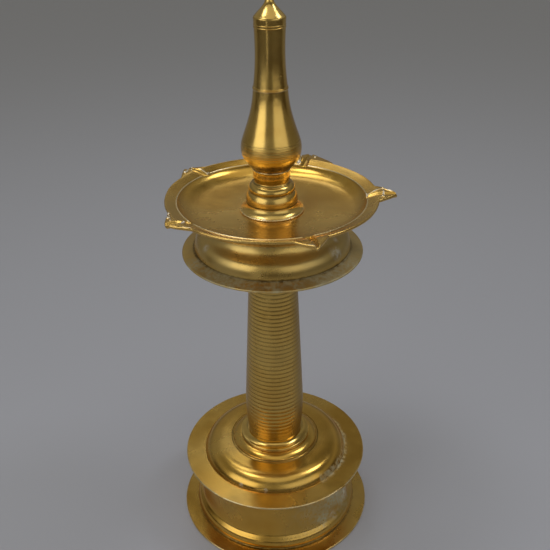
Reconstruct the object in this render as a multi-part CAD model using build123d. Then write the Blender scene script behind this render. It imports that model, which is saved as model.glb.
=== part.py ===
from build123d import *
import os
from math import cos, pi, radians, sin, tan

# Five-beaked brass standing oil lamp (samai), made of hollow turned castings that screw
# into one another.  Millimetres, +Z up.  The origin is on the lamp's axis, on the plane
# that the base stands on.

# Heights of the seats, from the table up
BASE_PLATE_Z = 78.7
BASE_CROWN_Z = 102.5
COLUMN_FOOT_Z = 109.0
COLUMN_TOP_Z = 350.0
COLLAR_FOOT_Z = 356.1
COLLAR_TOP_Z = 388.0
DISH_SEAT_Z = 389.3
DISH_FLOOR_Z = 396.0
FINIAL_SEAM_Z = 440.5
TIP_Z = 610.0

# Principal radii
BOTTOM_FLANGE_R = 113.7
DRUM_R = 97.0
BASE_PLATE_R = 108.0
DOME_R = 84.7
COLUMN_RING_R = 40.7
COLLAR_PLATE_R = 95.5
COLLAR_R = 82.5
BOWL_R = 97.5
RIM_R = 110.0
FINIAL_FOOT_R = 33.2
BULB_R = 30.3

# Castings
WALL = 4.0
SEAT_GAP = 0.05
BRAZE_GAP = 0.1
BOSS_R = 20.0

# Screw threads, right-handed: the body screws, and the finial's own smaller one
PITCH = 4.0
THREAD_HEIGHT = 1.2
THREAD_ROOT_WIDTH = 2.2
THREAD_CREST_WIDTH = 0.9
THREAD_GAP = 0.3
ROOT_OVERLAP = 0.8
THREAD_START = 40.0
SPIGOT_LENGTH = 22.0
BODY_SCREW_R = 12.8
FINIAL_SCREW_R = 8.0
SPIGOT_BORE_R = 8.0
FINIAL_BORE_R = 4.0

# Column ribs, which close up towards the top
RIBS = 47
RIB_CLOSING = 0.11
RIB_DEPTH = 0.3

# Rim and beaks: azimuth in degrees from +X, and the radius of the tip
RIM_SLOPE = 19.4
RIM_THICKNESS = 3.0
BEAKS = [(-1.0, 128.4), (68.4, 126.2), (142.5, 121.5), (215.0, 123.0), (289.0, 127.0)]
BEAK_TOP_Z = 412.6
BEAK_THICKNESS = 3.2
BEAK_HALF_ANGLE = 9.2
BEAK_TIP_R = 3.0
CHANNEL_INNER_R = 91.5
CHANNEL_FLOOR_Z = 405.9
CHANNEL_RISE = 2.0
CHANNEL_WIDE = 5.5
CHANNEL_NARROW = 2.2
KEEL_WALL = 2.4
NUB_R = 2.1


def turned(start, *runs):
    """Solid of revolution about Z.  Each run is a set of (radius, height) points: one is a
    straight line, two are an arc through the first, more are a smooth curve."""
    with BuildPart() as part:
        with BuildSketch(Plane.XZ):
            with BuildLine():
                here = start
                for run in runs:
                    if len(run) == 1:
                        Line(here, run[0])
                    elif len(run) == 2:
                        ThreePointArc(here, run[0], run[1])
                    else:
                        Spline(here, *run)
                    here = run[-1]
                if here != start:
                    Line(here, start)
            make_face()
        revolve(axis=Axis.Z)
    return part.part


def cylinder(radius, low, high):
    """Upright cylinder on the axis between two heights."""
    base = Align.CENTER, Align.CENTER, Align.MIN
    return Pos(0, 0, low) * Cylinder(radius, high - low, align=base)


def thread_ridge(root, low, turns, gap=0.0):
    """Helical ridge on a core of radius root, its axis section a trapezium; gap widens it all
    round, for cutting the mating groove."""
    half_root = THREAD_ROOT_WIDTH / 2 + gap
    half_crest = THREAD_CREST_WIDTH / 2 + gap
    inner = root - ROOT_OVERLAP
    crest = root + THREAD_HEIGHT + gap
    section = [(inner, -half_root), (root, -half_root), (crest, -half_crest)]
    section += [(crest, half_crest), (root, half_root), (inner, half_root)]
    path = Helix(PITCH, turns * PITCH, root, center=(0, 0, low))
    with BuildPart() as part:
        with BuildSketch(Plane.XZ):
            with BuildLine():
                Polyline([(r, z + low) for r, z in section], close=True)
            make_face()
        sweep(path=path, is_frenet=True)
    return Rot(0, 0, THREAD_START) * part.part


def spigot(root, seat):
    """Threaded spigot that hangs below a seat, its lowest turn one pitch above its end."""
    end = seat - SPIGOT_LENGTH
    turns = int(SPIGOT_LENGTH / PITCH) - 1
    return cylinder(root, end, seat + 1) + thread_ridge(root, end + PITCH / 2, turns)


def tapped(solid, root, seat, mouth):
    """The solid with a tapped socket, open at the mouth, for a spigot that hangs from seat."""
    end = seat - SPIGOT_LENGTH
    turns = int((mouth - end) / PITCH) + 1
    drilled = solid - cylinder(root + THREAD_GAP, end - 1, mouth + 1)
    return drilled - thread_ridge(root, end + PITCH / 2, turns, THREAD_GAP)


def base_drum():
    """Bottom flange and waisted drum, one hollow casting that is open below."""
    top = BASE_PLATE_Z - BRAZE_GAP
    foot = DRUM_R - 0.7
    inner = DRUM_R - WALL - 1.5
    outer = [(DRUM_R + 0.6, 9.4), (DRUM_R - 0.4, 13.4), (94.8, 16.4), (91.9, 18.8)]
    outer += [(90.2, 23.0), (89.0, 31.5), (88.4, 44.0), (89.2, 62.0), (92.4, top)]
    return turned(
        (BOTTOM_FLANGE_R - 0.8, 0),
        ((BOTTOM_FLANGE_R, 1.3), (BOTTOM_FLANGE_R - 0.9, 2.6)),
        ((foot + 0.6, 4.6),),
        ((foot, 5.4),),
        outer,
        ((86.5, top),),
        ((84.6, 62.0), (83.8, 46.0), (84.2, 31.0), (86.0, 18.0), (inner - 1, 10.0), (inner, 3.0)),
        ((inner + 1.5, 0),),
    )


def base_dome():
    """Upper flange and dome, with the tapped boss for the column inside its crown."""
    shell = turned(
        (BASE_PLATE_R - 0.7, BASE_PLATE_Z),
        ((BASE_PLATE_R, BASE_PLATE_Z + 1.2), (BASE_PLATE_R - 0.8, BASE_PLATE_Z + 2.4)),
        ((DOME_R + 0.3, 81.4),),
        ((83.2, 85.6), (79.2, 90.6), (73.0, 94.6), (65.4, 96.2), (58.0, 96.4), (52.9, 96.6)),
        ((52.3, 95.8), (51.7, 96.7)),
        ((50.6, 97.0), (49.9, 98.2)),
        ((49.3, 97.9), (48.8, 98.9)),
        ((44.5, 101.6), (41.6, BASE_CROWN_Z)),
        ((BODY_SCREW_R, BASE_CROWN_Z),),
        ((BODY_SCREW_R, BASE_CROWN_Z - WALL),),
        ((44.0, BASE_CROWN_Z - WALL - 0.5),),
        ((60.0, 92.2), (70.0, 90.0), (77.0, 84.8), (80.6, 78.0)),
        ((80.6, 72.0),),
        ((84.4, 72.0),),
        ((84.4, BASE_PLATE_Z),),
    )
    boss = cylinder(BOSS_R, COLUMN_FOOT_Z - SPIGOT_LENGTH - 4, BASE_CROWN_Z)
    return tapped(shell + boss, BODY_SCREW_R, COLUMN_FOOT_Z, BASE_CROWN_Z)


def column_ring():
    """Moulded ring that the column's foot stands on."""
    low = BASE_CROWN_Z + SEAT_GAP
    top = COLUMN_FOOT_Z - SEAT_GAP
    bore = BODY_SCREW_R + THREAD_HEIGHT + 2 * THREAD_GAP
    return turned(
        (bore, low),
        ((COLUMN_RING_R - 0.9, low),),
        ((COLUMN_RING_R - 0.2, low + 0.5), (COLUMN_RING_R - 0.8, low + 1.0)),
        ((COLUMN_RING_R, low + 2.2), (COLUMN_RING_R - 1.6, low + 3.6)),
        ((35.5, low + 4.3), (32.2, top)),
        ((bore, top),),
    )


def column_radius(height):
    """Outer radius of the column: a swelling low down, then a straight taper."""
    swelling = 2.9 * max(0.0, 1 - (height - COLUMN_FOOT_Z) / 45) ** 2
    taper = 0.0455 * max(0.0, height - 158)
    return 33.7 - swelling - taper


def rib_height(rib):
    """Height of the valley below a rib, counted from the foot."""
    share = rib / RIBS
    rise = (1 + RIB_CLOSING) * share - RIB_CLOSING * share**2
    return COLUMN_FOOT_Z + (COLUMN_TOP_Z - COLUMN_FOOT_Z) * rise


def column():
    """Hollow ribbed column, with a spigot below and a tapped socket in its top."""
    outer = []
    for rib in range(RIBS):
        low, high = rib_height(rib), rib_height(rib + 1)
        middle = (low + high) / 2
        outer.append(((column_radius(middle), middle), (column_radius(high) - RIB_DEPTH, high)))
    socket_floor = COLUMN_TOP_Z + 6 - SPIGOT_LENGTH - 4
    tube = turned(
        (SPIGOT_BORE_R, COLUMN_FOOT_Z),
        ((column_radius(COLUMN_FOOT_Z) - RIB_DEPTH, COLUMN_FOOT_Z),),
        *outer,
        ((BODY_SCREW_R, COLUMN_TOP_Z),),
        ((BODY_SCREW_R, socket_floor - 2),),
        ((column_radius(socket_floor) - WALL - 1, socket_floor - 12),),
        ((column_radius(COLUMN_FOOT_Z) - WALL - 1, COLUMN_FOOT_Z + 14),),
        ((SPIGOT_BORE_R, COLUMN_FOOT_Z + 6),),
    )
    screw = spigot(BODY_SCREW_R, COLUMN_FOOT_Z)
    bore = cylinder(SPIGOT_BORE_R, COLUMN_FOOT_Z - SPIGOT_LENGTH - 1, COLUMN_FOOT_Z + 6)
    return tapped(tube + screw - bore, BODY_SCREW_R, COLLAR_FOOT_Z, COLUMN_TOP_Z)


def collar_plate():
    """Thin dished flange, clamped between the column and the collar."""
    low = COLUMN_TOP_Z + SEAT_GAP
    top = COLLAR_FOOT_Z - SEAT_GAP
    bore = BODY_SCREW_R + THREAD_HEIGHT + 2 * THREAD_GAP
    return turned(
        (bore, low),
        ((26.0, low),),
        ((30.0, low + 2.6),),
        ((78.0, low + 2.6),),
        ((COLLAR_PLATE_R - 0.7, low + 0.2),),
        ((COLLAR_PLATE_R, low + 1.4), (COLLAR_PLATE_R - 0.9, low + 2.6)),
        ((COLLAR_R, top),),
        ((bore, top),),
    )


def collar_drum():
    """Rolled collar under the dish: a torus with a cove above it, a hub in the middle with a
    spigot below and a tapped socket above."""
    low, top = COLLAR_FOOT_Z, COLLAR_TOP_Z
    outer = [(67.2, top - 3.0), (69.2, top - 8.5), (72.8, top - 12.8), (77.0, top - 16.4)]
    outer += [(79.9, top - 20.8), (COLLAR_R - 0.9, low + 5.5), (COLLAR_R - 0.2, low)]
    inner = [(COLLAR_R - WALL - 0.8, low + 5.5), (COLLAR_R - WALL - 2.4, top - 22.5)]
    inner += [(72.6, top - 18.8), (67.0, top - 13.9), (61.0, top - 5.0)]
    shell = turned(
        (BODY_SCREW_R, top),
        ((66.5, top),),
        outer,
        ((COLLAR_R - WALL - 1, low),),
        inner,
        ((BODY_SCREW_R, top - 5.0),),
    )
    hub = cylinder(BOSS_R, low, top - 1)
    screw = spigot(BODY_SCREW_R, low)
    bore = cylinder(SPIGOT_BORE_R, low - SPIGOT_LENGTH - 1, top)
    return tapped(shell + hub + screw - bore, BODY_SCREW_R, DISH_SEAT_Z, top)


def dish_washer():
    """Leather washer that the dish tightens on, so that a beak can be turned to the front."""
    low, high = COLLAR_TOP_Z + SEAT_GAP, DISH_SEAT_Z - SEAT_GAP
    bore = BODY_SCREW_R + THREAD_HEIGHT + 2 * THREAD_GAP
    return cylinder(64.0, low, high) - cylinder(bore, low - 1, high + 1)


def rim_height(radius):
    """Height of the rim's upper face, which slopes up and outwards from the bowl's edge."""
    return 408.4 + (radius - BOWL_R) * tan(radians(RIM_SLOPE))


def above_rim():
    """Everything above the sloping rim and the level tops of the beaks."""
    return turned(
        (0, rim_height(0)),
        ((RIM_R, rim_height(RIM_R)),),
        ((RIM_R, BEAK_TOP_Z),),
        ((150.0, BEAK_TOP_Z),),
        ((150.0, 470.0),),
        ((0, 470.0),),
    )


def beak_plan(azimuth, tip):
    """Upright prism on the plan of one beak: two bowed sides from the rim to a rounded tip."""
    spread = radians(BEAK_HALF_ANGLE)
    root = (RIM_R - 2) * cos(spread), (RIM_R - 2) * sin(spread)
    shoulder = root[0] + (tip - root[0]) * 0.55, root[1] * 0.62
    cheek = tip - BEAK_TIP_R * 0.7, BEAK_TIP_R * 0.95
    with BuildPart() as part:
        with BuildSketch(Plane.XY.rotated((0, 0, azimuth)).offset(DISH_FLOOR_Z)):
            with BuildLine():
                ThreePointArc(root, shoulder, cheek)
                ThreePointArc(cheek, (tip, 0), (cheek[0], -cheek[1]))
                mirrored = (shoulder[0], -shoulder[1]), (root[0], -root[1])
                ThreePointArc((cheek[0], -cheek[1]), *mirrored)
                Polyline((root[0], -root[1]), (BOWL_R - 1, 0), root)
            make_face()
        extrude(amount=40)
    return part.part


def channel(azimuth, tip, wall=0.0):
    """Cone along one beak's centre line that scoops its channel, or its keel with a wall."""
    start = CHANNEL_INNER_R
    align = Align.CENTER, Align.CENTER, Align.MIN
    cone = Cone(CHANNEL_WIDE + wall, CHANNEL_NARROW + wall, tip + 6 - start, align=align)
    axis_height = CHANNEL_FLOOR_Z + CHANNEL_WIDE
    return Rot(0, 0, azimuth) * Pos(start, 0, axis_height) * Rot(0, 90 - CHANNEL_RISE, 0) * cone


def nub(azimuth):
    """Small rounded button in the corner between the rim and a beak."""
    radius = RIM_R + 1
    align = Align.CENTER, Align.CENTER, Align.MIN
    button = Cylinder(NUB_R, 3.6, align=align)
    button = fillet(button.edges().sort_by(Axis.Z)[-1], NUB_R * 0.7)
    return Rot(0, 0, azimuth) * Pos(radius, 0, BEAK_TOP_Z - 2.2) * button


def dish_bowl():
    """Shallow bowl with its seat ring below and the sloping rim round it."""
    seat = DISH_SEAT_Z
    under = RIM_THICKNESS / cos(radians(RIM_SLOPE))
    outer = [(77.0, seat + 1.8), (88.0, seat + 6.6), (95.5, seat + 13.6)]
    outer += [(99.0, rim_height(99.0) - under)]
    edge = [(RIM_R + 0.2, rim_height(RIM_R) - under / 2), (RIM_R - 0.4, rim_height(RIM_R))]
    lip = [(BOWL_R - 0.1, rim_height(BOWL_R) + 0.7), (BOWL_R - 0.9, rim_height(BOWL_R) + 0.2)]
    return turned(
        (BODY_SCREW_R - 1, seat),
        ((BODY_SCREW_R + 9, seat),),
        ((BODY_SCREW_R + 11, seat + 2.2),),
        ((56.0, seat + 2.2),),
        ((58.0, seat),),
        ((66.0, seat),),
        outer,
        ((RIM_R - 0.6, rim_height(RIM_R) - under),),
        edge,
        ((BOWL_R + 0.4, rim_height(BOWL_R) + 0.1),),
        lip,
        ((95.6, 406.6), (91.0, 402.5), (84.0, 399.6), (74.0, 397.8), (62.0, 396.75)),
        ((50.0, 396.15), (40.0, DISH_FLOOR_Z)),
        ((BODY_SCREW_R - 1, DISH_FLOOR_Z),),
    )


def oil_dish():
    """Oil dish with five channelled beaks, a blind tapped boss for the finial and a spigot
    below."""
    dish = dish_bowl()
    inside = cylinder(BOWL_R, DISH_FLOOR_Z, 440)
    slab = cylinder(140, BEAK_TOP_Z - BEAK_THICKNESS, BEAK_TOP_Z)
    slab -= cylinder(RIM_R - 3, DISH_FLOOR_Z, 440)
    cleared = above_rim()
    for azimuth, tip in BEAKS:
        plan = beak_plan(azimuth, tip)
        keel = channel(azimuth, tip, KEEL_WALL)
        dish += slab & plan
        dish += (keel & plan) - inside - cleared
    for azimuth, tip in BEAKS:
        dish -= channel(azimuth, tip)
        for side in (-1, 1):
            dish += nub(azimuth + side * (BEAK_HALF_ANGLE + 0.6))
    boss = cylinder(BOSS_R - 6, DISH_SEAT_Z, DISH_FLOOR_Z + 15)
    blank = dish + boss + spigot(BODY_SCREW_R, DISH_SEAT_Z)
    return tapped(blank, FINIAL_SCREW_R, DISH_FLOOR_Z + 15, DISH_FLOOR_Z + 15)


def finial_foot():
    """Bell-shaped foot of the finial, hollow over the dish's boss."""
    low = DISH_FLOOR_Z + SEAT_GAP
    top = FINIAL_SEAM_Z - SEAT_GAP
    bore = FINIAL_SCREW_R + THREAD_HEIGHT + THREAD_GAP
    return turned(
        (FINIAL_FOOT_R - 0.8, low),
        ((FINIAL_FOOT_R, low + 0.9), (FINIAL_FOOT_R - 1.0, low + 1.8)),
        ((29.4, 399.8), (27.2, 402.6), (26.2, 405.6)),
        ((26.5, 408.4), (26.1, 411.8), (25.0, 415.2), (23.6, 417.6)),
        ((23.1, 418.1), (23.7, 418.9)),
        ((23.7, 421.6), (22.4, 424.4), (19.9, 426.6)),
        ((19.5, 427.3), (18.6, 427.6)),
        ((17.9, 428.4), (18.2, 430.4), (18.8, 434.0), (18.6, 438.0), (18.8, top)),
        ((bore, top),),
        ((bore, 434.0),),
        ((BOSS_R - 5, 428.0),),
        ((BOSS_R - 5, 412.0),),
        ((21.0, 405.0), (25.5, low)),
    )


def finial_stem():
    """Bulb and tapering stem of the finial with its pointed cap, on a long shank that screws
    into the dish through the foot."""
    seam = FINIAL_SEAM_Z
    bulb = [(20.6, 443.4), (24.2, 447.8), (28.0, 453.4), (29.8, 458.2), (BULB_R, 463.5)]
    bulb += [(29.6, 469.0), (27.1, 477.0), (23.2, 488.6), (19.9, 500.5), (17.6, 514.0)]
    bulb += [(16.9, 521.6)]
    cone = [(10.2, 593.4), (6.4, 597.6), (4.5, 600.6), (3.3, 605.0), (1.6, TIP_Z - 0.8)]
    hollow = [(9.5, 560.0), (10.4, 535.0), (12.4, 518.0), (17.6, 496.0), (24.5, 474.0)]
    hollow += [(26.2, 464.0), (22.5, 454.0), (12.0, 447.5)]
    stem = turned(
        (FINIAL_BORE_R, seam),
        ((18.9, seam),),
        ((19.5, seam + 0.6), (19.2, seam + 1.3)),
        bulb,
        ((17.4, 522.2), (16.8, 522.8)),
        ((17.2, 523.4), (16.6, 524.0)),
        ((15.4, 535.0), (14.5, 550.0), (14.4, 563.0), (15.0, 578.4)),
        ((15.4, 578.9), (15.0, 579.4)),
        ((15.0, 580.6),),
        ((15.4, 581.1), (15.1, 581.6)),
        ((15.4, 586.2),),
        ((15.3, 587.6), (14.4, 588.8)),
        cone,
        ((0.9, TIP_Z),),
        ((0, TIP_Z),),
        ((0, 580.0),),
        ((6.0, 580.0),),
        hollow,
        ((FINIAL_BORE_R, 446.5),),
    )
    seat = DISH_FLOOR_Z + 15
    shank = cylinder(FINIAL_SCREW_R, seat - 1, seam + 1)
    bore = cylinder(FINIAL_BORE_R, seat - SPIGOT_LENGTH - 1, seam + 4)
    return stem + shank + spigot(FINIAL_SCREW_R, seat) - bore


PARTS = [base_drum, base_dome, column_ring, column, collar_plate]
PARTS += [collar_drum, dish_washer, oil_dish, finial_foot, finial_stem]

os.makedirs("parts", exist_ok=True)
for make in PARTS:
    solid = make()
    export_step(solid, f"parts/{make.__name__}.step")
    print(make.__name__, "valid", solid.is_valid, "solids", len(solid.solids()))
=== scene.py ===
import math

import bmesh
import bpy
from mathutils import Matrix, Vector


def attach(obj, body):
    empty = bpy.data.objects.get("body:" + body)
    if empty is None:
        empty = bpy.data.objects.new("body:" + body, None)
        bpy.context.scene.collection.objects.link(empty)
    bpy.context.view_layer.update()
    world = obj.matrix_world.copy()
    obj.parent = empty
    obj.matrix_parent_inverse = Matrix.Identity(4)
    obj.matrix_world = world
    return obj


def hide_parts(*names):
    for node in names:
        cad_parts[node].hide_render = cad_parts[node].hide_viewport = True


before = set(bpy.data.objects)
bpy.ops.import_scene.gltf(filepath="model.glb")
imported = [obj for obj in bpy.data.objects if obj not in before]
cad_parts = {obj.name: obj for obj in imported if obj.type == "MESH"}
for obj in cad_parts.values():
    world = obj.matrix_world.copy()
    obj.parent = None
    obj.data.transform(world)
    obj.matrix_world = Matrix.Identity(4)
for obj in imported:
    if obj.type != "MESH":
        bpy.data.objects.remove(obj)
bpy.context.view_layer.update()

# Camera, fitted to the photograph: metres in front of the lamp's axis and above the floor,
# degrees, and millimetres for the lens and the sensor
CAMERA_DISTANCE = 0.730
CAMERA_HEIGHT = 0.723
CAMERA_PITCH = 29.04
CAMERA_YAW = 0.18
CAMERA_ROLL = -0.65
CAMERA_LENS = 50.5
CAMERA_SENSOR = 36
CLIP_NEAR = 0.01
CLIP_FAR = 50

# Stage, in metres, degrees and linear colour
FLOOR_SIZE = 14.0
FLOOR_COLOR = (0.43, 0.42, 0.405, 1)
FLOOR_ROUGHNESS = 0.6
LIGHT_TARGET = (0, 0, 0.3)
LIGHT_DISTANCE = 1.7
OVERHEAD_STRENGTH = 0.46
OVERHEAD_SPREAD = 64
SCREEN_R = 1.5
SCREEN_REACH = 105
SCREEN_STEPS = 42
SCREEN_LOW = 0.02
SCREEN_TOP = 0.46
SCREEN_COLOR = (0.115, 0.09, 0.06, 1)
SCREEN_ROUGHNESS = 0.9
DAYLIGHT = (0.96, 1.0, 1.12)
LAMPLIGHT = (0.93, 1.0, 1.25)

# Room: greys at heights of the view direction, from the horizon at 0 to straight up at 1
ROOM_SHADES = [(0.0, 0.16), (0.2, 0.16), (0.42, 0.27), (0.75, 0.155)]
ROOM_BLUE = 0.98
ROOM_RIGHT = 0.6

# Brass, as linear colour
YELLOW_BRASS = (0.80, 0.53, 0.135)
RED_BRASS = (0.79, 0.475, 0.088)
# Worn brass, also laid on as painted highlights along edges
GLINT_AND_WORN_BRASS = (0.93, 0.76, 0.42)
# Dirt colour, also laid on as painted shade in gaps, under overhangs and down the column's sides
DIRT_AND_SHADE = (0.10, 0.060, 0.022)
TARNISH = (0.34, 0.27, 0.115)
# Verdigris tint, also laid on the collar plate's front as a painted reflection of the pale room
VERDIGRIS_AND_SHEEN = (0.58, 0.54, 0.33)
RESIDUE = (0.74, 0.69, 0.53)

# Share of the metal's own colour that is left where it is darkest
DEEP_BRASS = (0.80, 0.73, 0.62)

# Noises that vary the brass: scales in features per metre, the drift of the turning lines in
# metres per radian, and the size of a pit as a share of the pits' spacing
TURNING_SHIFT = 0.004
FINE_LINES = 2600
BANDS = 420
CLOUDS = 15
BLOTCHES = 70
GRIME = 260
PITS = 80
PIT_SIZE = 0.085

# How far each effect goes, as a share
CLOUD_DIRT = 0.30
PIT_DIRT = 0.5
# Seam rings darken with dirt in joints and grooves and with painted shade in gaps and under overhangs
SEAM_DIRT_AND_SHADE = 0.85
VALLEY_DIRT = 0.55
# Painted shade down the column's left side, as a share of that down its right side
LEFT_SIDE_SHADE = 0.6
# Brightening along edges: painted highlight and wear
GLINT_AND_POLISH = 0.8
DRIED_POLISH = 0.85
UNMETALLIC = 0.65
ANISOTROPY = 0.4

# Roughness that blotches, dirt with painted shade, and dullness add
BLOTCH_ROUGHNESS = 0.14
DIRT_AND_SHADE_ROUGHNESS = 0.20
DULL_ROUGHNESS = 0.28

# Relief: the bump's strength and its full height in metres, then the weight of each part
BUMP_STRENGTH = 0.55
BUMP_HEIGHT = 0.00012
FINE_RELIEF = 0.30
BAND_RELIEF = 0.35
SUNK_RELIEF = 0.8
SCORE_RELIEF = 2.2

# The column's rib crests, in metres: their radius, the taper above a height and the narrowing
# towards the foot; then how far below the crest a valley starts and is full
CREST_R = 0.0337
TAPER_FROM = 0.158
TAPER = 0.0455
FOOT_Z = 0.112
FOOT_LENGTH = 0.045
FOOT_NARROWING = 0.0029
VALLEY_START = 0.0001
VALLEY_FULL = 0.0003


# ---------------------------------------------------------------- camera, light and floor

def add_camera():
    data = bpy.data.cameras.new("camera")
    data.lens = CAMERA_LENS
    data.sensor_width = CAMERA_SENSOR
    data.clip_start = CLIP_NEAR
    data.clip_end = CLIP_FAR
    camera = bpy.data.objects.new("camera", data)
    turn = Matrix.Rotation(-math.radians(CAMERA_YAW), 4, "Z")
    tilt = Matrix.Rotation(math.radians(90 - CAMERA_PITCH), 4, "X")
    roll = Matrix.Rotation(math.radians(CAMERA_ROLL), 4, "Z")
    place = Matrix.Translation((0, -CAMERA_DISTANCE, CAMERA_HEIGHT))
    camera.matrix_world = place @ turn @ tilt @ roll
    bpy.context.scene.collection.objects.link(camera)
    bpy.context.scene.camera = camera


def add_softbox(name, azimuth, elevation, width, height, radiance, color, distance=LIGHT_DISTANCE):
    """Area light at an azimuth in degrees to the right of the front, aimed at the lamp."""
    data = bpy.data.lights.new(name, "AREA")
    data.shape = "RECTANGLE"
    data.size = width
    data.size_y = height
    data.energy = radiance * math.pi * width * height
    data.color = color
    light = bpy.data.objects.new(name, data)
    a, e = math.radians(azimuth), math.radians(elevation)
    out = Vector((math.sin(a) * math.cos(e), -math.cos(a) * math.cos(e), math.sin(e)))
    light.location = Vector(LIGHT_TARGET) + out * distance
    light.rotation_mode = "QUATERNION"
    light.rotation_quaternion = out.to_track_quat("Z", "Y")
    bpy.context.scene.collection.objects.link(light)


def add_overhead():
    """Wide soft light straight from above."""
    data = bpy.data.lights.new("overhead", "SUN")
    data.energy = OVERHEAD_STRENGTH
    data.angle = math.radians(OVERHEAD_SPREAD)
    light = bpy.data.objects.new("overhead", data)
    bpy.context.scene.collection.objects.link(light)


def add_world():
    """Plain grey room, lightest about 25 degrees up and darker high on the right."""
    world = bpy.data.worlds.new("room")
    bpy.context.scene.world = world
    world.use_nodes = True
    net = Net(world.node_tree)
    direction = net.node("ShaderNodeTexCoord").outputs["Generated"]
    x, _, z = net.split(direction)
    up = net.ramp(z, [(place, (grey, grey, grey * ROOM_BLUE)) for place, grey in ROOM_SHADES])
    side = net.smooth(net.times(x, net.smooth(z, 0.45, 0.75)), -0.1, 0.35)
    up = net.mix(side, up, net.mix(1.0 - ROOM_RIGHT, up, (0, 0, 0, 1)))
    background = net.node("ShaderNodeBackground")
    net.link(up, background.inputs["Color"])
    output = net.node("ShaderNodeOutputWorld")
    net.link(background.outputs[0], output.inputs["Surface"])


def painted_mesh(name, points, faces, paint, color, roughness):
    """Plain object with one flat colour."""
    mesh = bpy.data.meshes.new(name)
    mesh.from_pydata(points, [], faces)
    painted = bpy.data.objects.new(name, mesh)
    bpy.context.scene.collection.objects.link(painted)
    material = bpy.data.materials.new(paint)
    material.use_nodes = True
    shader = material.node_tree.nodes["Principled BSDF"]
    shader.inputs["Base Color"].default_value = color
    shader.inputs["Roughness"].default_value = roughness
    mesh.materials.append(material)
    return painted


def add_screen():
    """Dark low screen round the front, seen only in reflections."""
    corners, sides = [], []
    for step in range(SCREEN_STEPS + 1):
        a = math.radians(SCREEN_REACH * (2 * step / SCREEN_STEPS - 1))
        x, y = SCREEN_R * math.sin(a), -SCREEN_R * math.cos(a)
        corners += [(x, y, SCREEN_LOW), (x, y, SCREEN_TOP)]
    for step in range(SCREEN_STEPS):
        sides.append((2 * step, 2 * step + 2, 2 * step + 3, 2 * step + 1))
    screen = painted_mesh("screen", corners, sides, "screen_cloth", SCREEN_COLOR, SCREEN_ROUGHNESS)
    screen.visible_camera = False
    screen.visible_shadow = False


def add_floor():
    h = FLOOR_SIZE / 2
    corners = [(-h, -h, 0), (h, -h, 0), (h, h, 0), (-h, h, 0)]
    floor = painted_mesh("floor", corners, [(0, 1, 2, 3)], "floor_paint", FLOOR_COLOR, FLOOR_ROUGHNESS)


# ---------------------------------------------------------------- node helpers

class Net:
    """Short names for building a node tree."""

    def __init__(self, tree):
        self.tree = tree
        tree.nodes.clear()

    def node(self, kind, **settings):
        made = self.tree.nodes.new(kind)
        for key, value in settings.items():
            setattr(made, key, value)
        return made

    def link(self, source, target):
        self.tree.links.new(source, target)

    def feed(self, socket, value):
        """Links a socket, or sets a plain value."""
        if isinstance(value, bpy.types.NodeSocket):
            self.link(value, socket)
        else:
            socket.default_value = value

    def math(self, operation, a, b=0.0):
        made = self.node("ShaderNodeMath", operation=operation)
        for socket, value in zip(made.inputs, (a, b)):
            self.feed(socket, value)
        return made.outputs[0]

    def add(self, a, b):
        return self.math("ADD", a, b)

    def take(self, a, b):
        return self.math("SUBTRACT", a, b)

    def times(self, a, b):
        return self.math("MULTIPLY", a, b)

    def most(self, a, b):
        return self.math("MAXIMUM", a, b)

    def inverse(self, a):
        return self.math("SUBTRACT", 1.0, a)

    def smooth(self, value, low, high):
        """0 below low, 1 above high, smooth between."""
        made = self.node("ShaderNodeMapRange", interpolation_type="SMOOTHSTEP")
        self.feed(made.inputs["Value"], value)
        made.inputs["From Min"].default_value = low
        made.inputs["From Max"].default_value = high
        return made.outputs[0]

    def split(self, vector):
        made = self.node("ShaderNodeSeparateXYZ")
        self.link(vector, made.inputs[0])
        return made.outputs[0], made.outputs[1], made.outputs[2]

    def join(self, x, y, z):
        made = self.node("ShaderNodeCombineXYZ")
        for socket, value in zip(made.inputs, (x, y, z)):
            self.feed(socket, value)
        return made.outputs[0]

    def noise(self, vector, scale, detail=2.0, roughness=0.5):
        made = self.node("ShaderNodeTexNoise")
        self.link(vector, made.inputs["Vector"])
        made.inputs["Scale"].default_value = scale
        made.inputs["Detail"].default_value = detail
        made.inputs["Roughness"].default_value = roughness
        return made.outputs["Fac"]

    def spots(self, vector, scale, size):
        """1 inside scattered round spots, 0 between them."""
        made = self.node("ShaderNodeTexVoronoi")
        self.link(vector, made.inputs["Vector"])
        made.inputs["Scale"].default_value = scale
        return self.inverse(self.smooth(made.outputs["Distance"], size * 0.4, size))

    def mix(self, factor, a, b):
        made = self.node("ShaderNodeMix", data_type="RGBA")
        self.feed(made.inputs["Factor"], factor)
        self.feed(made.inputs["A"], a)
        self.feed(made.inputs["B"], b)
        return made.outputs["Result"]

    def ramp(self, factor, stops):
        made = self.node("ShaderNodeValToRGB")
        self.link(factor, made.inputs[0])
        elements = made.color_ramp.elements
        while len(elements) < len(stops):
            elements.new(0.5)
        for element, (place, color) in zip(elements, stops):
            element.position = place
            element.color = (*color, 1)
        return made.outputs["Color"]


# ---------------------------------------------------------------- brass

class Surface(Net):
    """Node tree of a brass piece, with its coordinates and the noises that vary it."""

    def __init__(self, tree):
        super().__init__(tree)
        self.place = self.node("ShaderNodeTexCoord").outputs["Object"]
        self.x, self.y, self.z = self.split(self.place)
        self.radius = self.math("SQRT", self.add(self.times(self.x, self.x), self.times(self.y, self.y)))
        angle = self.math("ARCTAN2", self.y, self.x)
        turning = self.join(self.radius, self.z, self.times(angle, TURNING_SHIFT))
        self.fine_lines = self.noise(turning, FINE_LINES, 2)
        self.bands = self.noise(turning, BANDS, 3)
        self.clouds = self.noise(self.place, CLOUDS, 4, 0.45)
        self.blotches = self.noise(self.place, BLOTCHES, 4, 0.6)
        self.grime = self.noise(self.place, GRIME, 4, 0.65)


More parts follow.
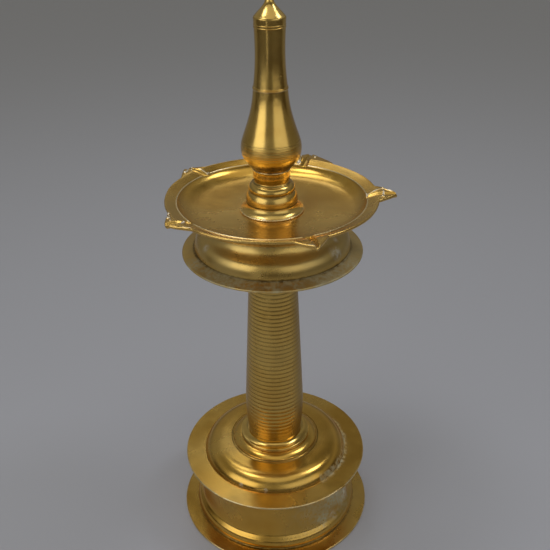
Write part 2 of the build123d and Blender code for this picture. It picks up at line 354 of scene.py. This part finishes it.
def brass(name, metal, roughness, relief, tarnish, unevenness=0.5, dirt_and_shade_rings=(), glint_and_wear_rings=(), haze_and_sheen=(),
          residue=(), scored=None, ribbed=False, marked=False, painted_side_shade=0.0):
    """Turned and polished brass.

    relief is the depth of its turning lines and unevenness that of its hammering.  The rings
    are circles (radius, height, width): dark rings hold dirt in joints and grooves and painted
    shade in gaps, under overhangs and on the finial bulb's underside; bright rings hold wear
    where handling keeps the metal bright and painted highlights along edges.  The patches
    (azimuth, radius, height, size, strength) are of verdigris, of painted reflection of the
    pale room on the collar plate's front, and of dried polish.  scored is a (low, high) band of
    cut lines.  ribbed puts dirt between the column's ribs, the side share puts painted shade
    down both sides, and marked reads the dish's own marks, which hold painted highlights on its
    lip and outer edge as well as wear, dried polish and dirt.
    """
    material = bpy.data.materials.new(name)
    material.use_nodes = True
    net = Surface(material.node_tree)
    marks = None
    if marked:
        marks = net.split(net.node("ShaderNodeVertexColor", layer_name="marks").outputs["Color"])
    pits = net.times(net.spots(net.place, PITS, PIT_SIZE), net.smooth(net.blotches, 0.54, 0.64))
    # Darkening by dirt and painted shade; brightening by wear and painted edge highlights
    dirt_and_shade = dirt_and_shade_mask(net, pits, dirt_and_shade_rings, ribbed, painted_side_shade, marks)
    color = clean_color(net, metal, dirt_and_shade, glint_and_wear_mask(net, glint_and_wear_rings, marks))
    color, dull = dulled(net, color, tarnish, haze_and_sheen, residue, marks)

    rough = net.add(roughness, net.times(net.take(net.blotches, 0.5), BLOTCH_ROUGHNESS))
    rough = net.add(rough, net.times(dirt_and_shade, DIRT_AND_SHADE_ROUGHNESS))
    rough = net.add(rough, net.times(dull, DULL_ROUGHNESS))
    height = relief_height(net, pits, dirt_and_shade, relief, unevenness, scored)
    bump = net.node("ShaderNodeBump")
    bump.inputs["Strength"].default_value = BUMP_STRENGTH
    bump.inputs["Distance"].default_value = BUMP_HEIGHT
    net.link(height, bump.inputs["Height"])

    shader = net.node("ShaderNodeBsdfPrincipled")
    tangent = net.node("ShaderNodeTangent", direction_type="RADIAL", axis="Z")
    net.link(color, shader.inputs["Base Color"])
    net.link(rough, shader.inputs["Roughness"])
    net.link(bump.outputs[0], shader.inputs["Normal"])
    net.link(tangent.outputs[0], shader.inputs["Tangent"])
    shader.inputs["Anisotropic"].default_value = ANISOTROPY
    net.link(net.inverse(net.times(dull, UNMETALLIC)), shader.inputs["Metallic"])
    output = net.node("ShaderNodeOutputMaterial")
    net.link(shader.outputs[0], output.inputs["Surface"])
    return material


def dirt_and_shade_mask(net, pits, dirt_and_shade_rings, ribbed, painted_side_shade, marks):
    """Where the colour darkens: dirt in clouds and pits, dirt and painted shade along seams, dirt between
    ribs, and painted shade down the sides.
    """
    dirt_and_shade = net.times(net.smooth(net.clouds, 0.46, 0.80), CLOUD_DIRT)
    dirt_and_shade = net.most(dirt_and_shade, net.times(pits, PIT_DIRT))
    # Seam rings: dirt in joints and grooves, painted shade in gaps, under overhangs and on the bulb's
    # underside
    for seam_r, seam_z, width in dirt_and_shade_rings:
        away = ring_distance(net, seam_r, seam_z)
        ragged = net.add(away, net.times(net.take(net.grime, 0.5), width * 1.6))
        inside = net.inverse(net.smooth(ragged, 0.0, width))
        dirt_and_shade = net.most(dirt_and_shade, net.times(inside, SEAM_DIRT_AND_SHADE))
    if ribbed:
        dirt_and_shade = net.most(dirt_and_shade, net.times(rib_valleys(net), VALLEY_DIRT))
    # Painted shade down both sides of the column, stronger on the right
    if painted_side_shade:
        across = net.math("DIVIDE", net.x, net.radius)
        right = net.smooth(across, 0.55, 0.95)
        left = net.times(net.smooth(across, -0.70, -1.0), LEFT_SIDE_SHADE)
        dirt_and_shade = net.most(dirt_and_shade, net.times(net.add(right, left), painted_side_shade))
    if marks:
        dirt_and_shade = net.most(dirt_and_shade, net.times(marks[2], net.smooth(net.grime, 0.3, 0.6)))
    return dirt_and_shade


def glint_and_wear_mask(net, glint_and_wear_rings, marks):
    """Painted highlights along edges and the dish's lip, and wear where handling keeps the metal bright.
    """
    worn = marks[0] if marks else 0.0
    for edge_r, edge_z, width in glint_and_wear_rings:
        away = ring_distance(net, edge_r, edge_z)
        inside = net.inverse(net.smooth(away, width * 0.4, width))
        worn = net.most(worn, net.times(inside, net.smooth(net.blotches, 0.3, 0.5)))
    return worn


def clean_color(net, metal, dirt_and_shade, worn):
    """The metal's uneven colour, darkened by dirt and painted shade, and brightened by wear and painted
    edge highlights.
    """
    clouded = net.add(net.times(net.clouds, 0.75), net.times(net.blotches, 0.25))
    deep = [part * share for part, share in zip(metal, DEEP_BRASS)]
    color = net.mix(net.smooth(clouded, 0.3, 0.66), (*deep, 1), (*metal, 1))
    # Darkened by dirt and by painted shade, then brightened by wear and by painted edge highlights
    color = net.mix(dirt_and_shade, color, (*DIRT_AND_SHADE, 1))
    return net.mix(net.times(worn, GLINT_AND_POLISH), color, (*GLINT_AND_WORN_BRASS, 1))


def dulled(net, color, tarnish, haze_and_sheen, residue, marks):
    """(colour, mask) under tarnish, verdigris, painted reflection of the pale room and dried polish."""
    clouded = net.add(net.clouds, net.times(net.grime, 0.10))
    dull = net.times(net.smooth(clouded, 0.36, 0.78), tarnish)
    color = net.mix(dull, color, (*TARNISH, 1))
    # Haze patches are verdigris, save on the collar plate's front, where they are painted reflection
    for patches, tint in ((haze_and_sheen, VERDIGRIS_AND_SHEEN), (residue, RESIDUE)):
        for patch in patches:
            mask = patch_mask(net, *patch)
            color = net.mix(mask, color, (*tint, 1))
            dull = net.most(dull, mask)
    if marks:
        mask = net.times(net.times(marks[1], net.smooth(net.grime, 0.36, 0.58)), DRIED_POLISH)
        color = net.mix(mask, color, (*RESIDUE, 1))
        dull = net.most(dull, mask)
    return color, dull


def relief_height(net, pits, dirt_and_shade, relief, unevenness, scored):
    """Bump height: turning lines and blotches, sunk at pits and where dirt and painted shade darken the
    colour.
    """
    lines = net.times(net.fine_lines, FINE_RELIEF * relief)
    height = net.add(lines, net.times(net.bands, BAND_RELIEF * relief))
    height = net.add(height, net.times(net.blotches, unevenness))
    height = net.take(height, net.times(dirt_and_shade, SUNK_RELIEF))
    height = net.take(height, net.times(pits, SUNK_RELIEF))
    if scored is not None:
        height = net.add(height, net.times(score_lines(net, *scored), SCORE_RELIEF))
    return height


def rib_valleys(net):
    """1 in the valleys between the column's ribs, 0 on their crests."""
    taper = net.times(net.most(net.take(net.z, TAPER_FROM), 0.0), TAPER)
    above_foot = net.math("DIVIDE", net.take(net.z, FOOT_Z), FOOT_LENGTH)
    short = net.most(net.inverse(above_foot), 0.0)
    narrowing = net.times(net.times(short, short), FOOT_NARROWING)
    crest = net.take(net.take(CREST_R, narrowing), taper)
    return net.smooth(net.take(crest, net.radius), VALLEY_START, VALLEY_FULL)


def score_lines(net, low, high):
    """Uneven cut lines round a band between two heights."""
    below_top = net.inverse(net.smooth(net.z, high - 0.003, high))
    inside = net.times(net.smooth(net.z, low, low + 0.002), below_top)
    lines = net.noise(net.join(0.0, 0.0, net.z), 900, 1)
    return net.times(inside, net.smooth(lines, 0.42, 0.60))


def ring_distance(net, ring_r, ring_z):
    """Distance from a circle about the axis, in metres."""
    dr = net.take(net.radius, ring_r)
    dz = net.take(net.z, ring_z)
    return net.math("SQRT", net.add(net.times(dr, dr), net.times(dz, dz)))


def patch_mask(net, azimuth, radius, height, size, strength):
    """Ragged patch about one point of the surface."""
    a = math.radians(azimuth)
    away = net.node("ShaderNodeVectorMath", operation="DISTANCE")
    net.link(net.place, away.inputs[0])
    away.inputs[1].default_value = (radius * math.cos(a), radius * math.sin(a), height)
    torn = net.times(net.take(net.blotches, 0.5), size * 1.4)
    inside = net.inverse(net.smooth(net.add(away.outputs["Value"], torn), size * 0.2, size))
    return net.times(inside, net.times(net.smooth(net.grime, 0.30, 0.62), strength))


def leather():
    material = bpy.data.materials.new("leather")
    material.use_nodes = True
    net = Net(material.node_tree)
    place = net.node("ShaderNodeTexCoord").outputs["Object"]
    pores = net.noise(place, 900, 4, 0.6)
    shade = net.noise(place, 60, 3)
    shader = net.node("ShaderNodeBsdfPrincipled")
    net.link(net.mix(shade, (0.10, 0.055, 0.028, 1), (0.20, 0.115, 0.06, 1)), shader.inputs["Base Color"])
    shader.inputs["Roughness"].default_value = 0.7
    bump = net.node("ShaderNodeBump")
    bump.inputs["Strength"].default_value = 0.5
    bump.inputs["Distance"].default_value = 0.0002
    net.link(pores, bump.inputs["Height"])
    net.link(bump.outputs[0], shader.inputs["Normal"])
    output = net.node("ShaderNodeOutputMaterial")
    net.link(shader.outputs[0], output.inputs["Surface"])
    return material


# ---------------------------------------------------------------- oil dish, in millimetres

MM = 0.001
DISH_SEAT_Z = 389.3
DISH_FLOOR_Z = 396.0
LIP_R = 97.5
LIP_Z = 408.4
RIM_R = 110.0
RIM_SLOPE = math.tan(math.radians(19.4))
RIM_THICKNESS = 3.1
BEAK_TOP_Z = 412.6
HUB_R = 13.9
SPIGOT_R = 12.7
EDGE_R = RIM_R - 0.3
LIP_INNER_R = LIP_R - 0.9
BEAD_R = 0.75
BOWL_FLAT_R = 40
BOWL_REACH = 56.6
RIM_BEND = 2.2
BEAK_BLUNTNESS = 0.13
BEAK_DROOP = 0.6
CHANNEL_START_R = 94.0
CHANNEL_HALF = 4.6
CHANNEL_NARROWING = 2.4
RIDGE_HEIGHT = 0.95
RIDGE_HALF = 1.35
NUB_HEIGHT = 0.8
SCREW_MARGIN = 1.3

# Underside: a shallow ring is relieved between two seats, then the bowl rises to the rim
RELIEF_R = 22
RELIEF_END_R = 58
RELIEF_WALL = 2
RELIEF_DEPTH = 2.2
SEAT_R = 66
UNDER_BOWL_R = 99
SHELF_R = 97

# Sampling of the sculpted section: radii from the hub to the lip, steps across the rim, the
# rounded edge as (inset, share of the thickness), and radii back along the underside
BOWL_RADII = [24, 36, 48, 58, 63, 67, 70, 73, 76, 78.5, 81, 83, 85, 87, 89, 90.5, 92, 93.2, 94.2,
              95, 95.6, 96.1, 96.5, 96.8, 97.05, 97.3, 97.5, 97.7, 97.95]
RIM_START_R = 98.3
RIM_STEPS = 34
EDGE_TURN = 1.0
EDGE_ROUND = [(0.45, 0.10), (0.1, 0.32), (0.0, 0.55), (0.15, 0.80), (0.5, 0.95)]
UNDER_START_R = 101
UNDER_STEPS = 10
UNDER_RADII = [100, 99, 98, 97, 95.5, 93.5, 91, 88, 84, 80, 76, 72, 69, 66, 58, 57, 56, 24, 23, 22]
FINE_STEP = 0.24
COARSE_STEP = 0.9

# One entry per beak, angles in degrees from +X.  left and right are how far its sides reach
# round the rim, lift raises the left side, channel holds the angles at its inner and outer
# end and its depth, ridges and nubs are worked on the rim's upper face.
BEAKS = [
    {"azimuth": -1.4, "tip": 128.2, "left": 11.5, "right": 8.6, "bow": 0.0, "lift": 2.2,
     "channel": (-0.6, -1.4, 0.75), "gap": 2.6,
     "ridges": [(96.6, 1.6, 113.4, 4.6), (115.6, 5.8, 114.2, -4.4), (114.6, 4.8, 124.0, 0.6)],
     "nubs": [(96.9, 1.5, 1.9), (112.8, -5.2, 1.8), (111.6, 10.6, 1.7)]},
    {"azimuth": 68.6, "tip": 126.0, "left": 10.0, "right": 19.0, "bow": 0.15, "lift": 0.0,
     "channel": (68.0, 68.6, 0.9), "gap": 2.8,
     "ridges": [(99.0, 71.6, 115.0, 72.6)],
     "nubs": [(101.6, 72.2, 2.6), (113.4, 76.6, 1.8), (116.8, 64.6, 1.6)]},
    {"azimuth": 142.2, "tip": 121.4, "left": 11.0, "right": 9.6, "bow": 0.2, "lift": 0.0,
     "channel": (138.4, 141.6, 0.9), "gap": 2.4,
     "ridges": [(96.2, 136.0, 110.0, 137.4), (112.5, 146.8, 117.5, 137.6)],
     "nubs": [(96.2, 136.0, 1.9), (113.8, 146.4, 1.9), (116.4, 136.2, 1.8)]},
    {"azimuth": 214.4, "tip": 122.9, "left": 12.4, "right": 12.0, "bow": 0.1, "lift": 0.0,
     "channel": (216.9, 214.8, 0.85), "gap": 2.5,
     "ridges": [(109.8, 225.6, 121.2, 218.0), (102.4, 214.6, 106.4, 215.4), (110.6, 204.8, 114.6, 212.0)],
     "nubs": [(110.9, 227.6, 2.0), (110.8, 204.2, 2.1), (114.0, 208.6, 1.7)]},
    {"azimuth": 288.4, "tip": 126.9, "left": 10.0, "right": 9.2, "bow": 0.0, "lift": 0.0,
     "channel": (290.0, 288.6, 1.15), "gap": 3.7,
     "ridges": [(112.6, 280.2, 125.0, 287.4)],
     "nubs": [(112.4, 279.6, 2.1), (113.2, 297.4, 2.1)]},
]


def smooth_step(value, low, high):
    share = min(1.0, max(0.0, (value - low) / (high - low)))
    return share * share * (3 - 2 * share)


def turned(azimuth, reference):
    """Signed angle from a reference to an azimuth, in degrees."""
    return (azimuth - reference + 180) % 360 - 180


def off_beak(azimuth, beak):
    """Signed angle from a beak's centre line, in degrees."""
    return turned(azimuth, beak["azimuth"])


def nearest_beak(azimuth):
    return min(BEAKS, key=lambda beak: abs(off_beak(azimuth, beak)))


def rim_edge(azimuth):
    """Radius of the rim's outer edge, carried out to a point at each beak."""
    beak = nearest_beak(azimuth)
    off = off_beak(azimuth, beak)
    reach = beak["left"] if off > 0 else beak["right"]
    hand = math.radians(azimuth)
    worn = 0.22 * math.sin(5 * hand + 0.7) + 0.13 * math.sin(13 * hand + 2.1) + 0.06 * math.sin(47 * hand)
    if abs(off) >= reach:
        return EDGE_R + worn
    blunt = BEAK_BLUNTNESS
    share = (math.hypot(abs(off) / reach, blunt) - blunt) / (math.hypot(1, blunt) - blunt)
    rise = (1 - share) / (1 + (0.30 - beak["bow"]) * share)
    ease = smooth_step(1 - share, 0.0, 0.16)
    return EDGE_R + worn * (1 - 0.6 * rise) + (beak["tip"] - RIM_R) * rise * ease


def bowl_height(radius):
    share = max(0.0, (radius - BOWL_FLAT_R) / BOWL_REACH)
    return DISH_FLOOR_Z + 4.9 * share**2 + 7.2 * share**10


def rim_plane(radius, azimuth):
    """Height of the rim's upper face without its channels, ridges and nubs."""
    hand = math.radians(azimuth)
    level = BEAK_TOP_Z - LIP_Z
    slope = (radius - LIP_R) * RIM_SLOPE
    bend = level - math.log1p(math.exp((level - slope) * RIM_BEND)) / RIM_BEND
    wave = 0.16 * math.sin(3 * hand + 0.9) + 0.10 * math.sin(8 * hand + 2.3)
    beak = nearest_beak(azimuth)
    off = off_beak(azimuth, beak)
    out = smooth_step(radius, 107, beak["tip"])
    side = smooth_step(off / beak["left"], 0.0, 0.7)
    droop = BEAK_DROOP * out * smooth_step(abs(off) / beak["left"], 0.1, 0.6)
    wave *= smooth_step(radius, 96, 106)
    return LIP_Z + bend + wave + beak["lift"] * out * side - droop


def polar(radius, azimuth):
    a = math.radians(azimuth)
    return radius * math.cos(a), radius * math.sin(a)


def to_segment(point, start, end):
    """(share along the segment, distance from it) of a point."""
    dx, dy = end[0] - start[0], end[1] - start[1]
    along = ((point[0] - start[0]) * dx + (point[1] - start[1]) * dy) / (dx * dx + dy * dy)
    held = min(1.0, max(0.0, along))
    away = math.hypot(point[0] - start[0] - held * dx, point[1] - start[1] - held * dy)
    return along, away


def channel_depth(point, beak):
    inner, outer, deep = beak["channel"]
    along, away = to_segment(point, polar(CHANNEL_START_R, inner), polar(beak["tip"] + 2, outer))
    held = min(1.0, max(0.0, along))
    half = CHANNEL_HALF - CHANNEL_NARROWING * held
    depth = deep * (1.7 + 4.0 * held - 4.4 * held * held)
    return depth * smooth_step(half + 0.4 - away, 0.0, half * 0.8)


def worked(point, beak):
    """Height that a beak's ridges and nubs add at a point."""
    height = 0.0
    for r1, a1, r2, a2 in beak["ridges"]:
        along, away = to_segment(point, polar(r1, a1), polar(r2, a2))
        uneven = 0.85 + 0.25 * math.sin(along * 9 + r1)
        height = max(height, RIDGE_HEIGHT * uneven * smooth_step(RIDGE_HALF - away, 0.0, 1.1))
    for radius, azimuth, size in beak["nubs"]:
        x, y = polar(radius, azimuth)
        away = math.hypot(point[0] - x, point[1] - y) / size
        height = max(height, NUB_HEIGHT * size * math.sqrt(max(0.0, 1 - away * away)))
    return height


def dish_top(radius, azimuth):
    """(height, wear and painted highlight, residue, dirt) of the dish's upper face outside the bowl's
    floor.
    """
    if radius < LIP_INNER_R:
        return bowl_height(radius), 0.0, 0.0, 0.0
    point = polar(radius, azimuth)
    beak = nearest_beak(azimuth)
    depth = channel_depth(point, beak)
    proud = worked(point, beak)
    opened = smooth_step(beak["gap"] - abs(turned(azimuth, beak["channel"][0])), 0.0, 0.8)
    bead = BEAD_R * math.sqrt(max(0.0, 1 - ((radius - LIP_R) / BEAD_R) ** 2)) * (1 - opened)
    low = bowl_height(min(radius, LIP_R - 0.3))
    plane = rim_plane(radius, azimuth)
    base = low + (plane - low) * smooth_step(radius, LIP_INNER_R, LIP_R + 0.1)
    # The lip bead is brightened as a painted highlight, the ridges and nubs as wear
    wear_and_glint = min(1.0, bead * 1.5 + smooth_step(proud, 0.3, 0.9) * 0.5)
    residue = smooth_step(proud, 0.15, 0.8)
    dirt_and_shade = smooth_step(depth, 0.5, 2.4) * 0.35
    return base + bead + proud - depth, wear_and_glint, residue, dirt_and_shade


def dish_under(radius, azimuth):
    """Height of the underside from the seat out to the edge."""
    if radius < RELIEF_R:
        return DISH_SEAT_Z
    if radius < RELIEF_END_R:
        rise = smooth_step(radius, RELIEF_R, RELIEF_R + RELIEF_WALL)
        fall = smooth_step(radius, RELIEF_END_R - RELIEF_WALL, RELIEF_END_R)
        return DISH_SEAT_Z + RELIEF_DEPTH * rise * (1 - fall)
    if radius < SEAT_R:
        return DISH_SEAT_Z
    share = (min(radius, UNDER_BOWL_R) - SEAT_R) / (UNDER_BOWL_R - SEAT_R)
    bowl = DISH_SEAT_Z + 12.6 * share**1.7 + 3.8 * share**6
    if radius <= SHELF_R:
        return bowl
    beak = nearest_beak(azimuth)
    keel = 0.9 * channel_depth(polar(radius, azimuth), beak)
    shelf = rim_plane(max(radius, SHELF_R + 1), azimuth) - RIM_THICKNESS - keel
    return bowl + (shelf - bowl) * smooth_step(radius, SHELF_R, UNDER_START_R)


def dish_azimuths():
    """Angles round the dish, close together at the beaks."""
    found, azimuth = [], 0.0
    while azimuth < 359.9:
        found.append(azimuth)
        beak = nearest_beak(azimuth)
        off = off_beak(azimuth, beak)
        near = -beak["right"] - 2 < off < beak["left"] + 2
        azimuth += FINE_STEP if near else COARSE_STEP
    return found


def dish_section(azimuth):
    """Points (radius, height, wear, residue, dirt) of the closed section at an angle."""
    edge = rim_edge(azimuth)
    turn = edge - EDGE_TURN
    rim_radii = [RIM_START_R + (turn - RIM_START_R) * (i + 1) / RIM_STEPS for i in range(RIM_STEPS)]
    radii = [HUB_R, *BOWL_RADII, RIM_START_R, *rim_radii]
    section = [(r, *dish_top(r, azimuth)) for r in radii]
    rim = section[-1][1]
    thick = rim - dish_under(turn, azimuth)
    # The rounded outer edge is brightened a little, as painted highlight and wear
    for inset, drop in EDGE_ROUND:
        section.append((edge - inset, rim - thick * drop, 0.15, 0.0, 0.0))
    last = UNDER_STEPS - 1
    back = [turn - (turn - UNDER_START_R) * i / last for i in range(UNDER_STEPS)]
    back += [*UNDER_RADII, SPIGOT_R]
    section += [(r, dish_under(r, azimuth), 0.0, 0.0, 0.15) for r in back]
    return section


def sculpt_dish():
    """The hammered and filed dish, without its screws."""
    azimuths = dish_azimuths()
    points, marks, faces = [], [], []
    for azimuth in azimuths:
        cosine, sine = math.cos(math.radians(azimuth)), math.sin(math.radians(azimuth))
        for radius, height, wear_and_glint, residue, dirt_and_shade in dish_section(azimuth):
            points.append((radius * cosine * MM, radius * sine * MM, height * MM))
            marks.append((wear_and_glint, residue, dirt_and_shade, 1))
    rows = len(points) // len(azimuths)
    for column in range(len(azimuths)):
        here, there = column * rows, (column + 1) % len(azimuths) * rows
        for row in range(rows - 1):
            faces.append((here + row, here + row + 1, there + row + 1, there + row))
    mesh = bpy.data.meshes.new("dish_shell")
    mesh.from_pydata(points, [], faces)
    layer = mesh.color_attributes.new("marks", "FLOAT_COLOR", "POINT")
    for item, mark in zip(layer.data, marks):
        item.color = mark
    mesh.shade_smooth()
    shell = bpy.data.objects.new("dish_shell", mesh)
    bpy.context.scene.collection.objects.link(shell)
    return shell


def dish_screws():
    """The dish's boss and spigot, whose threads come from the CAD mesh."""
    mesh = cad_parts["oil_dish"].data.copy()
    mesh.name = "dish_screws"
    made = bmesh.new()
    made.from_mesh(mesh)
    limit = (HUB_R + SCREW_MARGIN) * MM
    outside = [f for f in made.faces if max(math.hypot(v.co.x, v.co.y) for v in f.verts) > limit]
    bmesh.ops.delete(made, geom=outside, context="FACES")
    made.to_mesh(mesh)
    made.free()
    screws = bpy.data.objects.new("dish_screws", mesh)
    bpy.context.scene.collection.objects.link(screws)
    return screws


def add_dish(material):
    for piece in (sculpt_dish(), dish_screws()):
        piece.data.materials.clear()
        piece.data.materials.append(material)
        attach(piece, "dish")
        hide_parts("oil_dish")


def dress(node, material):
    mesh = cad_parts[node].data
    mesh.materials.clear()
    mesh.materials.append(material)


# ---------------------------------------------------------------- looks of the pieces

# Verdigris along the dome's foot, and painted reflection of the pale room on the front of the collar
# plate, as arcs of patches
DOME_VERDIGRIS = [(azimuth, 0.0838, 0.0836, 0.0068, 0.75) for azimuth in range(-50, 64, 4)]
PLATE_PAINTED_REFLECTION = [(azimuth, 0.0885, 0.3565, 0.020, 0.75) for azimuth in range(-150, -15, 15)]

# Arguments of brass() for each node, lengths in metres
NODE_BRASS = {
    "base_drum": dict(
        name="base_drum_brass", metal=RED_BRASS, roughness=0.21, relief=0.4, tarnish=0.25,
        # Dark rings at the drum's foot and under the upper plate: dirt in the joints and painted shade
        # under the plate
        dirt_and_shade_rings=[(0.0974, 0.0058, 0.0035), (0.0925, 0.0782, 0.003)],
        # Painted highlight and wear along the foot's outer edge
        glint_and_wear_rings=[(0.1136, 0.0018, 0.0011)],
        haze_and_sheen=[(-36, 0.0887, 0.046, 0.026, 1.2), (-24, 0.089, 0.034, 0.024, 1.2),
              (-50, 0.0895, 0.028, 0.015, 0.9), (-56, 0.0885, 0.052, 0.040, 0.45)],
        residue=[(-30, 0.0888, 0.05, 0.014, 0.8), (-19, 0.0887, 0.028, 0.014, 0.8),
                 (-42, 0.09, 0.022, 0.010, 0.7)]),
    "base_dome": dict(
        name="base_dome_brass", metal=RED_BRASS, roughness=0.20, relief=0.4, tarnish=0.22,
        dirt_and_shade_rings=[(0.0842, 0.0814, 0.002), (0.0520, 0.0960, 0.0012), (0.0502, 0.0972, 0.001),
               (0.0408, 0.1046, 0.002)],
        # Painted highlight and wear along the plate's edge
        glint_and_wear_rings=[(0.1078, 0.0806, 0.0012)],
        haze_and_sheen=DOME_VERDIGRIS,
        residue=[(-98, 0.0836, 0.084, 0.004, 0.5), (-118, 0.0836, 0.084, 0.004, 0.5)]),
    "column_ring": dict(
        name="ring_brass", metal=YELLOW_BRASS, roughness=0.17, relief=0.6, tarnish=0.1,
        dirt_and_shade_rings=[(0.0340, 0.1115, 0.002)]),
    "column": dict(
        name="column_brass", metal=YELLOW_BRASS, roughness=0.23, relief=0.6, tarnish=0.15,
        # Painted shade down both sides of the column
        ribbed=True, painted_side_shade=0.5),
    "collar_plate": dict(
        name="plate_brass", metal=YELLOW_BRASS, roughness=0.28, relief=0.5, tarnish=0.85,
        # Dark ring under the collar drum's foot: dirt in the joint and painted shade in the gap
        dirt_and_shade_rings=[(0.0830, 0.3555, 0.002)],
        # Painted highlight and wear along the plate's edge
        glint_and_wear_rings=[(0.0953, 0.3550, 0.0011)],
        # Painted reflection of the pale room across the plate's front
        haze_and_sheen=PLATE_PAINTED_REFLECTION),
    "collar_drum": dict(
        name="collar_brass", metal=YELLOW_BRASS, roughness=0.22, relief=0.6, tarnish=0.45,
        # Dark rings: dirt and painted shade in the gap over the plate and in the cove under the dish
        dirt_and_shade_rings=[(0.0822, 0.3566, 0.0018), (0.0668, 0.3868, 0.004)],
        residue=[(-36, 0.0795, 0.3690, 0.011, 0.7), (-150, 0.0780, 0.3710, 0.007, 0.5),
                 (-28, 0.0725, 0.3760, 0.006, 0.6)]),
    "finial_foot": dict(
        name="foot_brass", metal=YELLOW_BRASS, roughness=0.21, relief=0.8, tarnish=0.14,
        unevenness=0.9,
        dirt_and_shade_rings=[(0.0232, 0.4181, 0.0008), (0.0190, 0.4275, 0.0010), (0.0262, 0.4060, 0.0015)],
        # Painted highlight and wear along the foot's rim
        glint_and_wear_rings=[(0.0331, 0.3972, 0.0012)],
        residue=[(-104, 0.0325, 0.3985, 0.003, 0.8)]),
    "finial_stem": dict(
        name="stem_brass", metal=YELLOW_BRASS, roughness=0.19, relief=1.0, tarnish=0.08,
        unevenness=1.3,
        # Dark rings: dirt in the joints, and a wide band of painted shade on the bulb's underside
        dirt_and_shade_rings=[(0.0200, 0.4425, 0.0022), (0.0242, 0.4475, 0.0075), (0.0163, 0.5900, 0.0012)],
        # Painted highlights and wear on two of the stem's edges
        glint_and_wear_rings=[(0.0195, 0.4412, 0.0008), (0.0170, 0.5216, 0.0007)],
        scored=(0.455, 0.474)),
}

bpy.context.scene.view_settings.view_transform = "Standard"
add_camera()
add_world()
add_floor()
add_screen()
add_softbox("window_left", -50, 18, 1.3, 1.2, 1.35, DAYLIGHT)
add_softbox("window_right", 42, 18, 1.7, 1.2, 0.66, DAYLIGHT)
add_overhead()
add_softbox("door_gap", -21, -3, 0.045, 0.36, 2.2, DAYLIGHT, distance=1.4)
add_softbox("lamp_rear", -175, 43, 0.28, 0.20, 1.7, LAMPLIGHT)
add_softbox("lamp_back", -160, 61, 0.7, 0.42, 2.4, LAMPLIGHT)
add_softbox("lamp_right", 98, 54, 0.42, 0.42, 6.5, LAMPLIGHT)
add_softbox("lamp_left", -90, 69, 0.42, 0.42, 5.0, LAMPLIGHT)

for node, look in NODE_BRASS.items():
    dress(node, brass(**look))
dress("dish_washer", leather())
add_dish(brass("brass_dish", RED_BRASS, 0.21, 0.4, 0.2, marked=True))
